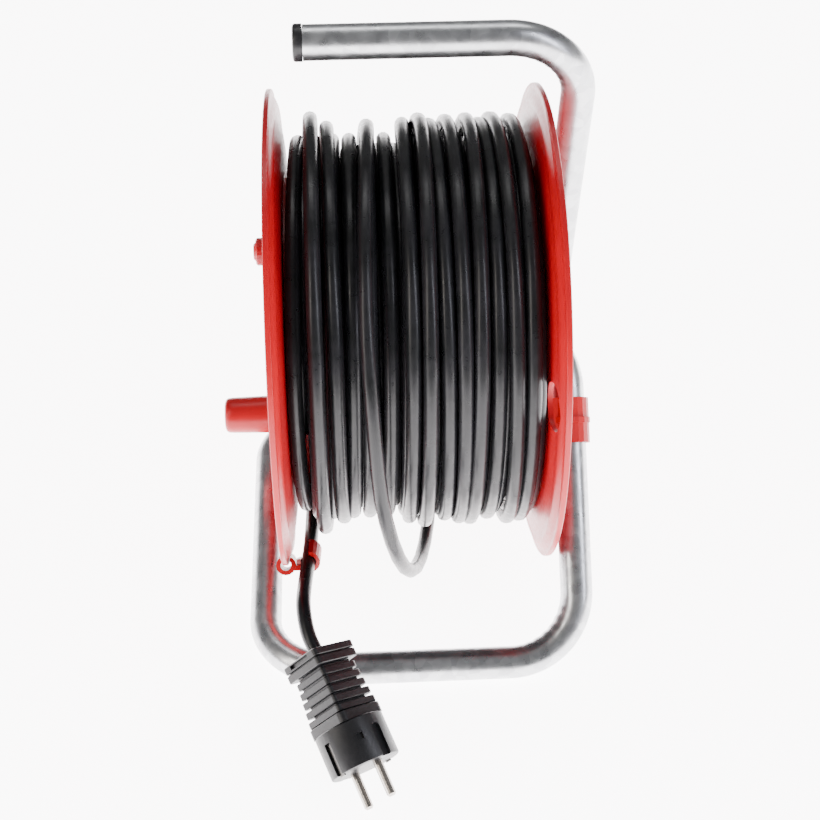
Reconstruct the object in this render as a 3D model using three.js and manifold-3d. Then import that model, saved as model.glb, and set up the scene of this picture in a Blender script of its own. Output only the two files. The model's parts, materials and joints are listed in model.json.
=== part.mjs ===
// Extension cord reel: a red two-flange drum that turns on the bent end of a free-standing tube frame.
// Millimetres, +Z up. X runs along the drum's axis, with the socket and crank side at -X.
// All pieces are drawn about the drum's axis, and the whole reel is then stood on the floor.

import * as THREE from 'three';
import { mergeVertices } from 'three/addons/utils/BufferGeometryUtils.js';
import Module from 'manifold-3d';

const wasm = await Module();
wasm.setup();

// ---------------------------------------------------------------- driving dimensions

const GAP = 0.3; // between pieces that touch

const TUBE_R = 9.1;
const TUBE_BORE_R = 7.5;
const TUBE_SIDES = 12;
const TUBE_BORE_SIDES = 8;
const BEND_R = 38; // of the tube's centreline
const BEND_STEPS = 6;

const HANDLE_END_X = -51;
const HANDLE_Y = 5;
const HANDLE_Z = 168.5;
const FRAME_RIGHT_X = 87.3;
const FRAME_LEFT_X = -84.6;
const FLOOR_BAR_Z = -135.5;
const FRONT_BAR_Y = -129;
const REAR_BAR_Y = 82;
const AXLE_END_X = -14;

const FLANGE_R = 130;
const RIM_X = 72.8; // outer face of each rim, from the drum's middle
const RIM_INNER_X = 69.8;
const WEB_OUT_X = 67.6;
const WEB_IN_X = 65;
const FLANGE_SEGMENTS = 48;
const RIM_HOLE_R = 12.4;
const RIM_HOLE_RIGHT = [111, 166]; // radius and angle of its centre
const RIM_HOLE_LEFT = [112, 252];

const CORE_R = 86;
const CORE_WALL = 2.6;
const CORE_HALF = WEB_IN_X - GAP;
const BOSS_R = 5;
const BOSS_CIRCLE_R = 78.8;
const BOSS_ANGLES = [45, 135, 225, 315];
const CORD_HOLE_X = -58;
const CORD_HOLE_ANGLE = 180;

const HUB_BORE_R = 13.2;
const HUB_R = 16.2;
const HUB_LEFT_X = -12;
const CUP_MOUTH_R = 33.4;
const BUSH_BORE_R = 9.5;
const BUSH_R = 12.85;
const BUSH_COLLAR_R = 14.4;

const PANEL_R = 64;
const PANEL_OPENING_R = 61.9;
const PANEL_BACK_X = -(WEB_OUT_X + GAP);
const PANEL_FACE_X = PANEL_BACK_X - 2.6;
const SOCKET_CIRCLE_R = 33;
const SOCKET_ANGLES = [110, 230, 350];
const WELL_R = 19.8;
const WELL_WALL = 2;
const WELL_FLOOR_X = PANEL_FACE_X + 17.5;
const WELL_BACK_X = WELL_FLOOR_X + 2.4;
const PIN_PITCH = 19;
const CONTACT_R = 3.2;
const CONTACT_BORE_R = 2.5;
const CARRIER_R = 57;
const CARRIER_DEPTH = 15;

const CUTOUT_PLACE = [43, 50];
const BUTTON_R = 5.2;
const BUTTON_TIP_X = -83.9;
const BUTTON_TRAVEL = 2.5;
const COLLAR_R = 7.7;
const COLLAR_TIP_X = -82.6;

const KNOB_PLACE = [98, 292];
const KNOB_BASE_R = 11.4;
const KNOB_TIP_R = 10.5;
const KNOB_TIP_X = -109;
const KNOB_BASE_X = -73.2;
const KNOB_PIN_R = 3.5;

const CORD_R = 3.9;
const WINDING_R = 114.4;
const WINDING_HALF = WEB_IN_X - 2 * GAP;
const WINDING_LOW_R = 103; // the bare stretch beside the left flange, where the cord leaves
const SLACK_TURN_SAG = 19;
const SLACK_TURN_LOWEST = 245;
const SLACK_TURN_STEPS = 26;

// where the drum's axis passes, once the reel stands on the floor
const REEL_PLACE = [5.4, 3.9, -FLOOR_BAR_Z + TUBE_R * Math.cos(Math.PI / TUBE_SIDES)];

// ---------------------------------------------------------------- materials

function material(color, roughness, metalness) {
  return new THREE.MeshStandardMaterial({ color, roughness, metalness });
}

const galvanised = material(0xc3c6c8, 0.32, 0.95);
const screwSteel = material(0xa9abad, 0.4, 0.9);
const brass = material(0xc49a4a, 0.35, 0.95);
const redPlastic = material(0xd5141c, 0.3, 0);
const blackPlastic = material(0x17181a, 0.45, 0);
const greyPlastic = material(0x303236, 0.5, 0);
const bushPlastic = material(0xe6e2d6, 0.5, 0);
const cordPvc = material(0x1b1e1d, 0.42, 0);

// ---------------------------------------------------------------- solids

/** The same surface with shared vertices, no collapsed triangles and its faces pointing out. */
function closed(geometry) {
  const bare = geometry.clone();
  for (const name of Object.keys(bare.attributes)) {
    if (name !== 'position') bare.deleteAttribute(name);
  }
  const merged = mergeVertices(bare, 1e-4);
  const points = merged.getAttribute('position');
  const a = new THREE.Vector3();
  const b = new THREE.Vector3();
  const c = new THREE.Vector3();
  const kept = [];
  let volume = 0;
  for (let i = 0; i < merged.index.count; i += 3) {
    const [p, q, r] = [0, 1, 2].map((k) => merged.index.getX(i + k));
    if (p === q || q === r || r === p) continue;
    kept.push(p, q, r);
    a.fromBufferAttribute(points, p);
    b.fromBufferAttribute(points, q);
    c.fromBufferAttribute(points, r);
    volume += a.dot(b.cross(c));
  }
  if (volume < 0) {
    for (let i = 0; i < kept.length; i += 3) [kept[i], kept[i + 1]] = [kept[i + 1], kept[i]];
  }
  merged.setIndex(kept);
  return merged;
}

function toManifold(geometry) {
  const surface = closed(geometry);
  const vertProperties = Float32Array.from(surface.getAttribute('position').array);
  const triVerts = Uint32Array.from(surface.index.array);
  return new wasm.Manifold(new wasm.Mesh({ numProp: 3, vertProperties, triVerts }));
}

function fromManifold(body) {
  const mesh = body.getMesh();
  const geometry = new THREE.BufferGeometry();
  geometry.setAttribute('position', new THREE.BufferAttribute(mesh.vertProperties, 3));
  geometry.setIndex(Array.from(mesh.triVerts));
  return geometry;
}

function joined(first, ...others) {
  return fromManifold(others.reduce((body, g) => body.add(toManifold(g)), toManifold(first)));
}

function cut(first, ...tools) {
  return fromManifold(tools.reduce((body, g) => body.subtract(toManifold(g)), toManifold(first)));
}

/** A solid turned about the X axis from a closed outline of [x, radius] points. */
function turned(outline, segments = 24) {
  const points = outline.map(([x, r]) => new THREE.Vector2(r, x));
  return closed(new THREE.LatheGeometry(points, segments).rotateZ(-Math.PI / 2));
}

/** A ring, or a disc where the bore is 0, between two places along X. */
function ring(fromX, toX, boreR, outerR, segments = 24) {
  const outline = [[fromX, boreR], [fromX, outerR], [toX, outerR], [toX, boreR]];
  if (boreR > 0) outline.push([fromX, boreR]);
  return turned(outline, segments);
}

function box(sizeX, sizeY, sizeZ, x = 0, y = 0, z = 0) {
  return new THREE.BoxGeometry(sizeX, sizeY, sizeZ).translate(x, y, z);
}

/** Y and Z of a place on the drum: a radius, and an angle in degrees from +Y towards +Z. */
function polar(radius, degrees) {
  const angle = THREE.MathUtils.degToRad(degrees);
  return [radius * Math.cos(angle), radius * Math.sin(angle)];
}

function movedTo(geometry, [radius, degrees], x = 0) {
  const [y, z] = polar(radius, degrees);
  return geometry.translate(x, y, z);
}

/** Turns a solid drawn at the +Y side of the axis round to an angle. */
function turnedTo(geometry, degrees) {
  return geometry.rotateX(THREE.MathUtils.degToRad(degrees));
}

function mirroredX(geometry) {
  return closed(geometry.scale(-1, 1, 1));
}

function add(parent, name, geometry, look) {
  const mesh = new THREE.Mesh(geometry, look);
  mesh.name = name;
  parent.add(mesh);
}

function addEach(parent, name, geometries, look) {
  geometries.forEach((geometry, i) => add(parent, `${name}_${i + 1}`, geometry, look));
}

// ---------------------------------------------------------------- paths for tubes

/** A path that an extrusion samples only at its own stations: few on a straight, more on a bend. */
class StationPath extends THREE.Curve {
  constructor(stations) {
    super();
    this.stations = stations;
  }

  get steps() {
    return this.stations.length - 1;
  }

  station(u) {
    return this.stations[Math.round(u * this.steps)];
  }

  getPoint(u, target = new THREE.Vector3()) {
    return target.copy(this.station(u).point);
  }

  getPointAt(u, target) {
    return this.getPoint(u, target);
  }

  getTangentAt(u, target = new THREE.Vector3()) {
    return target.copy(this.station(u).tangent);
  }
}

/** Straights joined by round bends of one radius, through a list of corners. */
function bentPath(corners, radius, bendSteps) {
  const stations = [];
  const last = corners.length - 1;
  const way = (i) => corners[i + 1].clone().sub(corners[i]).normalize();
  stations.push({ point: corners[0], tangent: way(0) });
  for (let i = 1; i < last; i += 1) {
    const before = way(i - 1);
    const after = way(i);
    const turn = before.angleTo(after);
    const reach = radius * Math.tan(turn / 2);
    const start = corners[i].clone().addScaledVector(before, -reach);
    const inward = after.clone().addScaledVector(before, -before.dot(after)).normalize();
    for (let k = 0; k <= bendSteps; k += 1) {
      const angle = (turn * k) / bendSteps;
      const point = start.clone()
        .addScaledVector(before, radius * Math.sin(angle))
        .addScaledVector(inward, radius * (1 - Math.cos(angle)));
      const tangent = before.clone().multiplyScalar(Math.cos(angle))
        .addScaledVector(inward, Math.sin(angle));
      stations.push({ point, tangent });
    }
  }
  stations.push({ point: corners[last], tangent: way(last - 1) });
  return new StationPath(stations);
}

/** A smooth path through hand-placed points, with evenly spaced stations. */
function smoothPath(points, steps) {
  const curve = new THREE.CatmullRomCurve3(points.map((p) => new THREE.Vector3(...p)));
  const stations = [];
  for (let i = 0; i <= steps; i += 1) {
    stations.push({ point: curve.getPointAt(i / steps), tangent: curve.getTangentAt(i / steps) });
  }
  return new StationPath(stations);
}

function polygon(radius, sides, phase) {
  return Array.from({ length: sides }, (_, k) => {
    const angle = phase + (2 * Math.PI * k) / sides;
    return new THREE.Vector2(radius * Math.cos(angle), radius * Math.sin(angle));
  });
}

function alongPath(path, radius, sides, boreR = 0, boreSides = sides, flatSide = 0) {
  const shape = new THREE.Shape(polygon(radius, sides, flatSide + Math.PI / sides));
  if (boreR > 0) shape.holes.push(new THREE.Path(polygon(boreR, boreSides, flatSide)));
  return closed(new THREE.ExtrudeGeometry(shape, { steps: path.steps, extrudePath: path }));
}

// ---------------------------------------------------------------- frame

const frameCorners = [
  [HANDLE_END_X, HANDLE_Y, HANDLE_Z],
  [FRAME_RIGHT_X, HANDLE_Y, HANDLE_Z],
  [FRAME_RIGHT_X, REAR_BAR_Y, FLOOR_BAR_Z],
  [FRAME_LEFT_X, REAR_BAR_Y, FLOOR_BAR_Z],
  [FRAME_LEFT_X, FRONT_BAR_Y, FLOOR_BAR_Z],
  [FRAME_RIGHT_X, FRONT_BAR_Y, FLOOR_BAR_Z],
  [FRAME_RIGHT_X, 0, 0],
  [AXLE_END_X, 0, 0],
].map((p) => new THREE.Vector3(...p));

/** The angle in the tube's section that faces straight down where the tube lies on the floor. */
function sectionAngleDown(path) {
  const frames = path.computeFrenetFrames(path.steps, false);
  const onFloor = path.stations.findIndex((s) => Math.abs(s.point.z - FLOOR_BAR_Z) < 1e-6);
  const down = new THREE.Vector3(0, 0, -1);
  return Math.atan2(down.dot(frames.binormals[onFloor]), down.dot(frames.normals[onFloor]));
}

function frameTube() {
  const path = bentPath(frameCorners, BEND_R, BEND_STEPS);
  const flat = sectionAngleDown(path);
  return alongPath(path, TUBE_R, TUBE_SIDES, TUBE_BORE_R, TUBE_BORE_SIDES, flat);
}

function handleEndCap() {
  const headEnd = HANDLE_END_X - 5;
  const plugR = 6.6;
  return turned([
    [headEnd, 0], [headEnd, 8.6], [headEnd + 0.8, 9.4], [HANDLE_END_X - GAP, 9.4],
    [HANDLE_END_X - GAP, plugR], [HANDLE_END_X + 13, plugR - 0.4], [HANDLE_END_X + 13, 0],
  ], 24).translate(0, HANDLE_Y, HANDLE_Z);
}

function axleEndPlug() {
  return ring(AXLE_END_X + GAP, 6, 3.3, 6.5, 20);
}

function retainingWasher() {
  return ring(AXLE_END_X - 1.9, AXLE_END_X - GAP, 3.4, 14.2, 24);
}

function retainingScrew() {
  const seat = AXLE_END_X - 1.9 - GAP;
  return turned([
    [seat - 4, 0], [seat - 4, 4.2], [seat - 2.8, 6], [seat, 6], [seat, 2.9], [4, 2.9], [4, 0],
  ], 20);
}

/** A snap-on clip on the strut that leads down from the axle. Its pad keeps the flange off the tube. */
function flangeGuideClip() {
  const boreR = TUBE_R + GAP + 0.1;
  const wall = 1.6;
  const half = 12.4;
  const pad = 3.6;
  const outer = new THREE.CylinderGeometry(boreR + wall, boreR + wall, 2 * half, 20);
  const rib = new THREE.CylinderGeometry(boreR + wall + 1, boreR + wall + 1, 3, 20);
  const padBlock = box(boreR + pad, 2 * half, 17, -(boreR + pad) / 2, 0, 0);
  const bore = new THREE.CylinderGeometry(boreR, boreR, 2 * half + 2, 20);
  const trimmed = box(2, 2 * half + 2, 40, boreR + wall - 0.2 + 1, 0, 0);
  const mouth = box(12, 2 * half + 2, 11, 4, 0, boreR);
  const clip = cut(joined(outer, rib, padBlock), bore, trimmed, mouth);
  const strut = new THREE.Vector3(0, FRONT_BAR_Y, FLOOR_BAR_Z).normalize();
  const turn = new THREE.Quaternion().setFromUnitVectors(new THREE.Vector3(0, 1, 0), strut);
  return clip.applyQuaternion(turn).translate(FRAME_RIGHT_X, ...strut.multiplyScalar(56).toArray().slice(1));
}

// ---------------------------------------------------------------- drum

const rimOutline = [
  [WEB_IN_X, 118.5], [RIM_INNER_X - 0.4, 126.5], [RIM_INNER_X, FLANGE_R], [RIM_X, FLANGE_R],
  [RIM_X, 127.6], [RIM_INNER_X + 1.8, 125.8], [WEB_OUT_X, 117.6],
];

function screwHoles(sign) {
  return BOSS_ANGLES.map((angle) => {
    const hole = ring(WEB_IN_X - 2, WEB_OUT_X + 2, 0, 2.5, 16);
    const placed = movedTo(hole, [BOSS_CIRCLE_R, angle]);
    return sign < 0 ? mirroredX(placed) : placed;
  });
}

function rimHole([radius, angle], sign) {
  const hole = movedTo(ring(60, 76, 0, RIM_HOLE_R, 24), [radius, angle]);
  return sign < 0 ? mirroredX(hole) : hole;
}

/** The frame-side flange, with the cup that the tube's bend enters and the hub that holds the bushes. */
function rightFlange() {
  const body = turned([
    [WEB_IN_X, 36], ...rimOutline, [WEB_OUT_X, CUP_MOUTH_R], [44, 15.7], [44, HUB_BORE_R],
    [HUB_LEFT_X, HUB_BORE_R], [HUB_LEFT_X, HUB_R], [42, HUB_R + 1], [WEB_IN_X, 36],
  ], FLANGE_SEGMENTS);
  return cut(body, ...screwHoles(1), rimHole(RIM_HOLE_RIGHT, 1));
}

/** The socket-side flange, with a boss for the crank pin. */
function leftFlange() {
  const body = mirroredX(turned([
    [WEB_IN_X, PANEL_OPENING_R], ...rimOutline, [WEB_OUT_X, PANEL_OPENING_R],
    [WEB_IN_X, PANEL_OPENING_R],
  ], FLANGE_SEGMENTS));
  const boss = movedTo(ring(-72, -WEB_IN_X - 0.6, 0, 8, 20), KNOB_PLACE);
  const pinHole = movedTo(ring(-74, -WEB_IN_X - 0.8, 0, KNOB_PIN_R + GAP, 20), KNOB_PLACE);
  return cut(joined(body, boss), pinHole, ...screwHoles(-1), rimHole(RIM_HOLE_LEFT, -1));
}

function drumCore() {
  const sleeve = ring(-CORE_HALF, CORE_HALF, CORE_R - CORE_WALL, CORE_R, FLANGE_SEGMENTS);
  const bosses = BOSS_ANGLES.map((angle) => (
    movedTo(ring(-CORE_HALF, CORE_HALF, 0, BOSS_R, 14), [BOSS_CIRCLE_R, angle])
  ));
  const pilots = BOSS_ANGLES.map((angle) => (
    movedTo(ring(-CORE_HALF - 1, CORE_HALF + 1, 0, 2.3, 12), [BOSS_CIRCLE_R, angle])
  ));
  const cordHole = new THREE.CylinderGeometry(CORD_R + 1, CORD_R + 1, 12, 16);
  cordHole.translate(CORD_HOLE_X, CORE_R, 0);
  return cut(joined(sleeve, ...bosses), ...pilots, turnedTo(cordHole, CORD_HOLE_ANGLE));
}

/** The block inside the core that grips the cord where it comes through the wall. */
function cordAnchor() {
  const top = CORE_R - CORE_WALL - 1.2;
  const block = box(19, 9, 16, CORD_HOLE_X + 3.5, top - 4.5, 0);
  const bore = new THREE.CylinderGeometry(CORD_R + 0.2, CORD_R + 0.2, 14, 16);
  bore.translate(CORD_HOLE_X, top - 4.5, 0);
  const screwHole = new THREE.CylinderGeometry(1.6, 1.6, 14, 12);
  screwHole.translate(CORD_HOLE_X + 9, top - 4.5, 0);
  return turnedTo(cut(block, bore, screwHole), CORD_HOLE_ANGLE);
}

function hubBush(collarX, endX) {
  const seat = collarX + Math.sign(endX - collarX) * 1.5;
  return turned([
    [collarX, BUSH_BORE_R], [collarX, BUSH_COLLAR_R], [seat, BUSH_COLLAR_R], [seat, BUSH_R],
    [endX, BUSH_R], [endX, BUSH_BORE_R], [collarX, BUSH_BORE_R],
  ], 24);
}

/** The screws that hold one flange to the core's bosses, for the flange at +X. */
function flangeScrews(sign) {
  return BOSS_ANGLES.map((angle) => {
    const headX = WEB_OUT_X + GAP;
    const screw = turned([
      [headX - 15, 0], [headX - 15, 1], [headX - 12, 1.9], [headX, 1.9], [headX, 4],
      [headX + 2.4, 2.6], [headX + 2.4, 0],
    ], 10);
    const placed = movedTo(screw, [BOSS_CIRCLE_R, angle]);
    return sign < 0 ? mirroredX(placed) : placed;
  });
}

// ---------------------------------------------------------------- socket unit

const contactPlaces = SOCKET_ANGLES.flatMap((angle) => {
  const [y, z] = polar(SOCKET_CIRCLE_R, angle);
  const [sideY, sideZ] = polar(PIN_PITCH / 2, angle + 90);
  return [[y + sideY, z + sideZ], [y - sideY, z - sideZ]];
});

/** A box drawn about a socket's centre, with its second side along the socket's radius. */
function socketBox(sizeX, sizeRadial, sizeSide, x, radial, angle) {
  return turnedTo(box(sizeX, sizeRadial, sizeSide, x, SOCKET_CIRCLE_R + radial, 0), angle);
}

const EARTH_REACH = 16.6; // from a socket's centre to each earth spring
const EARTH_THICK = 1;
const EARTH_WIDE = 7;

function earthSlots(fromX, toX) {
  const middle = (fromX + toX) / 2;
  return SOCKET_ANGLES.flatMap((angle) => [1, -1].map((side) => socketBox(
    toX - fromX, EARTH_THICK + 2 * GAP, EARTH_WIDE + 2 * GAP, middle, side * EARTH_REACH, angle,
  )));
}

function socketPanel() {
  const disc = ring(PANEL_FACE_X, PANEL_BACK_X, 0, PANEL_R, FLANGE_SEGMENTS);
  const skirt = ring(PANEL_BACK_X - 0.5, -60, 59.4, PANEL_OPENING_R - GAP, FLANGE_SEGMENTS);
  const cups = SOCKET_ANGLES.map((angle) => movedTo(
    ring(PANEL_BACK_X - 0.5, WELL_BACK_X, 0, WELL_R + WELL_WALL, 24), [SOCKET_CIRCLE_R, angle],
  ));
  const wells = SOCKET_ANGLES.map((angle) => movedTo(
    ring(PANEL_FACE_X - 1, WELL_FLOOR_X, 0, WELL_R, 24), [SOCKET_CIRCLE_R, angle],
  ));
  const pinHoles = contactPlaces.map(([y, z]) => (
    ring(WELL_FLOOR_X - 1, WELL_BACK_X + 1, 0, 2.7, 10).translate(0, y, z)
  ));
  const buttonHole = movedTo(
    ring(PANEL_FACE_X - 1, PANEL_BACK_X + 1, 0, BUTTON_R + 2 * GAP, 20), CUTOUT_PLACE,
  );
  return cut(
    joined(disc, skirt, ...cups), ...wells, ...pinHoles, buttonHole,
    ...earthSlots(WELL_FLOOR_X - 1, WELL_BACK_X + 1), panelScrewHole(),
  );
}

function panelScrewHole() {
  return ring(PANEL_FACE_X - 1, PANEL_BACK_X + 1, 0, 2.4, 14);
}

/** The one long screw that pulls the panel and the contact carrier together. */
function panelScrew() {
  const headX = PANEL_FACE_X - GAP;
  return turned([
    [headX - 2.2, 0], [headX - 2.2, 2.2], [headX - 1.2, 3.8], [headX, 4], [headX, 1.9],
    [WELL_BACK_X + 9, 1.9], [WELL_BACK_X + 9, 0],
  ], 14);
}

function contactCarrier() {
  const frontX = WELL_BACK_X + GAP;
  const backX = frontX + CARRIER_DEPTH;
  const disc = ring(frontX, backX, 0, CARRIER_R, 32);
  const holes = contactPlaces.map(([y, z]) => (
    ring(frontX - 1, frontX + 12.6, 0, CONTACT_R + 2 * GAP, 10).translate(0, y, z)
  ));
  const bridges = SOCKET_ANGLES.map((angle) => socketBox(
    2 * (EARTH_THICK + 2 * GAP), 2 * EARTH_REACH + EARTH_THICK + 2 * GAP, EARTH_WIDE + 2 * GAP,
    frontX, 0, angle,
  ));
  const pilot = ring(frontX - 1, backX + 1, 0, 2.2, 12);
  const cutoutSpace = movedTo(box(60, 22, 18).rotateX(THREE.MathUtils.degToRad(50)), CUTOUT_PLACE, frontX);
  const wireSlot = turnedTo(box(60, 20, 16, frontX, CARRIER_R, 0), CORD_HOLE_ANGLE);
  return cut(disc, ...holes, ...bridges, pilot, cutoutSpace, wireSlot);
}

function contactSleeves() {
  const frontX = WELL_BACK_X + 2 * GAP;
  return contactPlaces.map(([y, z]) => (
    ring(frontX, frontX + 11.6, CONTACT_BORE_R, CONTACT_R, 10).translate(0, y, z)
  ));
}

/** Three bent springs, each with two tongues that stand up inside a socket's well. */
function earthSprings() {
  const backX = WELL_BACK_X + GAP;
  const tipX = PANEL_FACE_X + 4;
  const half = EARTH_THICK / 2;
  const outline = [
    [backX + EARTH_THICK, -EARTH_REACH - half], [backX + EARTH_THICK, EARTH_REACH + half],
    [tipX, EARTH_REACH + half], [tipX, EARTH_REACH - half], [backX, EARTH_REACH - half],
    [backX, -EARTH_REACH + half], [tipX, -EARTH_REACH + half], [tipX, -EARTH_REACH - half],
  ];
  const shape = new THREE.Shape(outline.map(([x, y]) => new THREE.Vector2(x, y)));
  return SOCKET_ANGLES.map((angle) => {
    const spring = new THREE.ExtrudeGeometry(shape, { depth: EARTH_WIDE, bevelEnabled: false });
    return turnedTo(spring.translate(0, SOCKET_CIRCLE_R, -EARTH_WIDE / 2), angle);
  });
}

// ---------------------------------------------------------------- overload cut-out

const CUTOUT_FRONT_X = PANEL_BACK_X + 3;

function thermalCutout() {
  const body = box(17, 20, 15, CUTOUT_FRONT_X + 8.5, 0, 0);
  return movedTo(body.rotateX(THREE.MathUtils.degToRad(CUTOUT_PLACE[1])), CUTOUT_PLACE);
}

function cutoutCollar() {
  const baseX = PANEL_FACE_X - GAP;
  return movedTo(turned([
    [COLLAR_TIP_X, BUTTON_R + GAP + 0.2], [COLLAR_TIP_X, COLLAR_R - 0.8],
    [COLLAR_TIP_X + 0.8, COLLAR_R], [baseX, COLLAR_R],
    [baseX, BUTTON_R + GAP + 0.2], [COLLAR_TIP_X, BUTTON_R + GAP + 0.2],
  ], 20), CUTOUT_PLACE);
}

function resetButton() {
  const backX = CUTOUT_FRONT_X - BUTTON_TRAVEL - GAP;
  return movedTo(turned([
    [BUTTON_TIP_X, 0], [BUTTON_TIP_X, BUTTON_R - 1], [BUTTON_TIP_X + 1, BUTTON_R],
    [backX, BUTTON_R], [backX, 0],
  ], 20), CUTOUT_PLACE);
}

// ---------------------------------------------------------------- crank

function knobPin() {
  return movedTo(turned([
    [-104, 0], [-104, KNOB_PIN_R], [-WEB_IN_X - 1.2, KNOB_PIN_R], [-WEB_IN_X - 1.2, 0],
  ], 18), KNOB_PLACE);
}

function crankKnob() {
  const bore = KNOB_PIN_R + GAP;
  return movedTo(turned([
    [KNOB_TIP_X, 0], [KNOB_TIP_X, KNOB_TIP_R - 2.2], [KNOB_TIP_X + 0.7, KNOB_TIP_R - 0.7],
    [KNOB_TIP_X + 2.2, KNOB_TIP_R], [KNOB_BASE_X - 1, KNOB_BASE_R], [KNOB_BASE_X, KNOB_BASE_R - 0.6],
    [KNOB_BASE_X, bore], [-104 - GAP, bore], [-104 - GAP, 0],
  ], 20), KNOB_PLACE);
}

// ---------------------------------------------------------------- cord clip

const CLIP_ANGLE = 230.5;
const CLIP_CORD = [-58.8, 125.7]; // where the cord crosses the clip: X, and the distance from the axis
const CLIP_CORD_WAY = [-0.06, 0.42, -0.905]; // along X, outwards, and round the rim

/** The clip on the left rim: a split sleeve grips the rim, and a hooked arm holds the cord's end. */
function cordClip() {
  const rimMiddle = -(RIM_X + RIM_INNER_X) / 2;
  const sleeve = new THREE.CylinderGeometry(5.4, 5.4, 22, 16).rotateX(Math.PI / 2);
  const channel = new THREE.CylinderGeometry(3, 3, 24, 12).rotateX(Math.PI / 2);
  const arm = box(14, 3, 12, rimMiddle + 7, FLANGE_R + 1.6, 0);
  const window = box(4, 6, 5, rimMiddle + 7.6, FLANGE_R + 1.6, 0);
  const hook = new THREE.CylinderGeometry(CORD_R + 2.7, CORD_R + 2.7, 14, 18);
  const cordWay = new THREE.Vector3(...CLIP_CORD_WAY).normalize();
  const lean = new THREE.Quaternion().setFromUnitVectors(new THREE.Vector3(0, 1, 0), cordWay);
  hook.applyQuaternion(lean).translate(...CLIP_CORD, 0);
  const mouth = box(14, 12, 40, CLIP_CORD[0] - 7, CLIP_CORD[1] - 5, 0);
  const rimSpace = mirroredX(turned([
    [WEB_IN_X - GAP, 100], [WEB_IN_X - GAP, 118.5], [RIM_INNER_X - 0.4 - GAP, 126.5],
    [RIM_INNER_X - GAP, FLANGE_R + GAP], [RIM_X + GAP, FLANGE_R + GAP],
    [RIM_X + GAP, 124], [WEB_OUT_X + GAP, 117], [WEB_OUT_X + GAP, 100], [WEB_IN_X - GAP, 100],
  ], FLANGE_SEGMENTS));
  const held = cut(hook, mouth);
  for (const piece of [sleeve, channel]) piece.translate(rimMiddle, FLANGE_R - 0.4, 0);
  const clip = turnedTo(cut(joined(sleeve, arm, held), channel, window), CLIP_ANGLE);
  const cordSpace = alongPath(smoothPath(tailRoute, 12), CORD_R + 0.5, 12);
  return cut(clip, rimSpace, cordSpace);
}

// ---------------------------------------------------------------- cord

function cordWinding() {
  const low = WINDING_LOW_R;
  return turned([
    [-WINDING_HALF, CORE_R + GAP], [-WINDING_HALF, low], [-51.5, low], [-48, WINDING_R],
    [WINDING_HALF - 8, WINDING_R], [WINDING_HALF, WINDING_R - 7], [WINDING_HALF, CORE_R + GAP],
    [-WINDING_HALF, CORE_R + GAP],
  ], FLANGE_SEGMENTS);
}

/** The one slack turn, which lies on the winding's front and hangs clear below the drum. */
function slackTurn() {
  const points = [];
  for (let angle = 150; angle <= 315; angle += 11) {
    const fromLowest = (angle - SLACK_TURN_LOWEST) / 75;
    const sag = Math.abs(fromLowest) < 1 ? Math.cos((Math.PI / 2) * fromLowest) ** 2 : 0;
    const [y, z] = polar(WINDING_R + CORD_R + 2 * GAP + SLACK_TURN_SAG * sag, angle);
    points.push([-22 + 38 * THREE.MathUtils.smoothstep(angle, 170, 290), y, z]);
  }
  return alongPath(smoothPath(points, SLACK_TURN_STEPS), CORD_R, 8);
}

// the cord's free end, from the underside of the winding through the clip to the plug
const tailRoute = [
  [-56.5, -14, -107.3],
  [-57, -38, -105.6],
  [-57.8, -62, -101.5],
  [-59, -84, -96],
  [-60.6, -107, -89.8],
  [-61.4, -128, -86.2],
  [-59.3, -142.4, -91],
  [-54.9, -152, -96.5],
];

function cordTail() {
  return alongPath(smoothPath(tailRoute, 12), CORD_R, 10);
}

// ---------------------------------------------------------------- plug

const plugRear = new THREE.Vector3(...tailRoute.at(-1));
const plugAxis = new THREE.Vector3(0.369, -0.806, -0.463).normalize();
const plugPinLine = new THREE.Vector3(0.597, -0.176, 0.783);

const PLUG_COLLAR_END = 9;
const PLUG_FRONT_START = 35;
const PLUG_SHOULDER = 5.4;
const PLUG_FACE = 63;
const PLUG_FRONT_R = 18.4;
const RIB_COUNT = 5;
const RIB_SHARE = 0.72; // of each rib's pitch

/** Drawn along +Z from the plug's rear, then turned so that its pins lie along the pin line. */
function placedPlug(geometry) {
  const across = plugPinLine.clone().addScaledVector(plugAxis, -plugPinLine.dot(plugAxis)).normalize();
  const third = plugAxis.clone().cross(across);
  const place = new THREE.Matrix4().makeBasis(across, third, plugAxis);
  place.setPosition(plugRear.clone().addScaledVector(plugAxis, GAP));
  return geometry.applyMatrix4(place);
}

/** A plate with cut corners across the plug, from one height to another. */
function plugPlate(sizeX, sizeY, corner, from, to) {
  const [a, b] = [sizeX / 2, sizeY / 2];
  const outline = [
    [a - corner, -b], [a, -b + corner], [a, b - corner], [a - corner, b],
    [-a + corner, b], [-a, b - corner], [-a, -b + corner], [-a + corner, -b],
  ];
  const shape = new THREE.Shape(outline.map(([x, y]) => new THREE.Vector2(x, y)));
  const plate = new THREE.ExtrudeGeometry(shape, { depth: to - from, bevelEnabled: false });
  return plate.translate(0, 0, from);
}

function plugCollar() {
  return placedPlug(joined(
    plugPlate(28, 28, 2, 0, 4.1), plugPlate(25, 25, 2, 4, 4.9),
    plugPlate(28, 28, 2, 4.8, PLUG_COLLAR_END),
  ));
}

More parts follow.
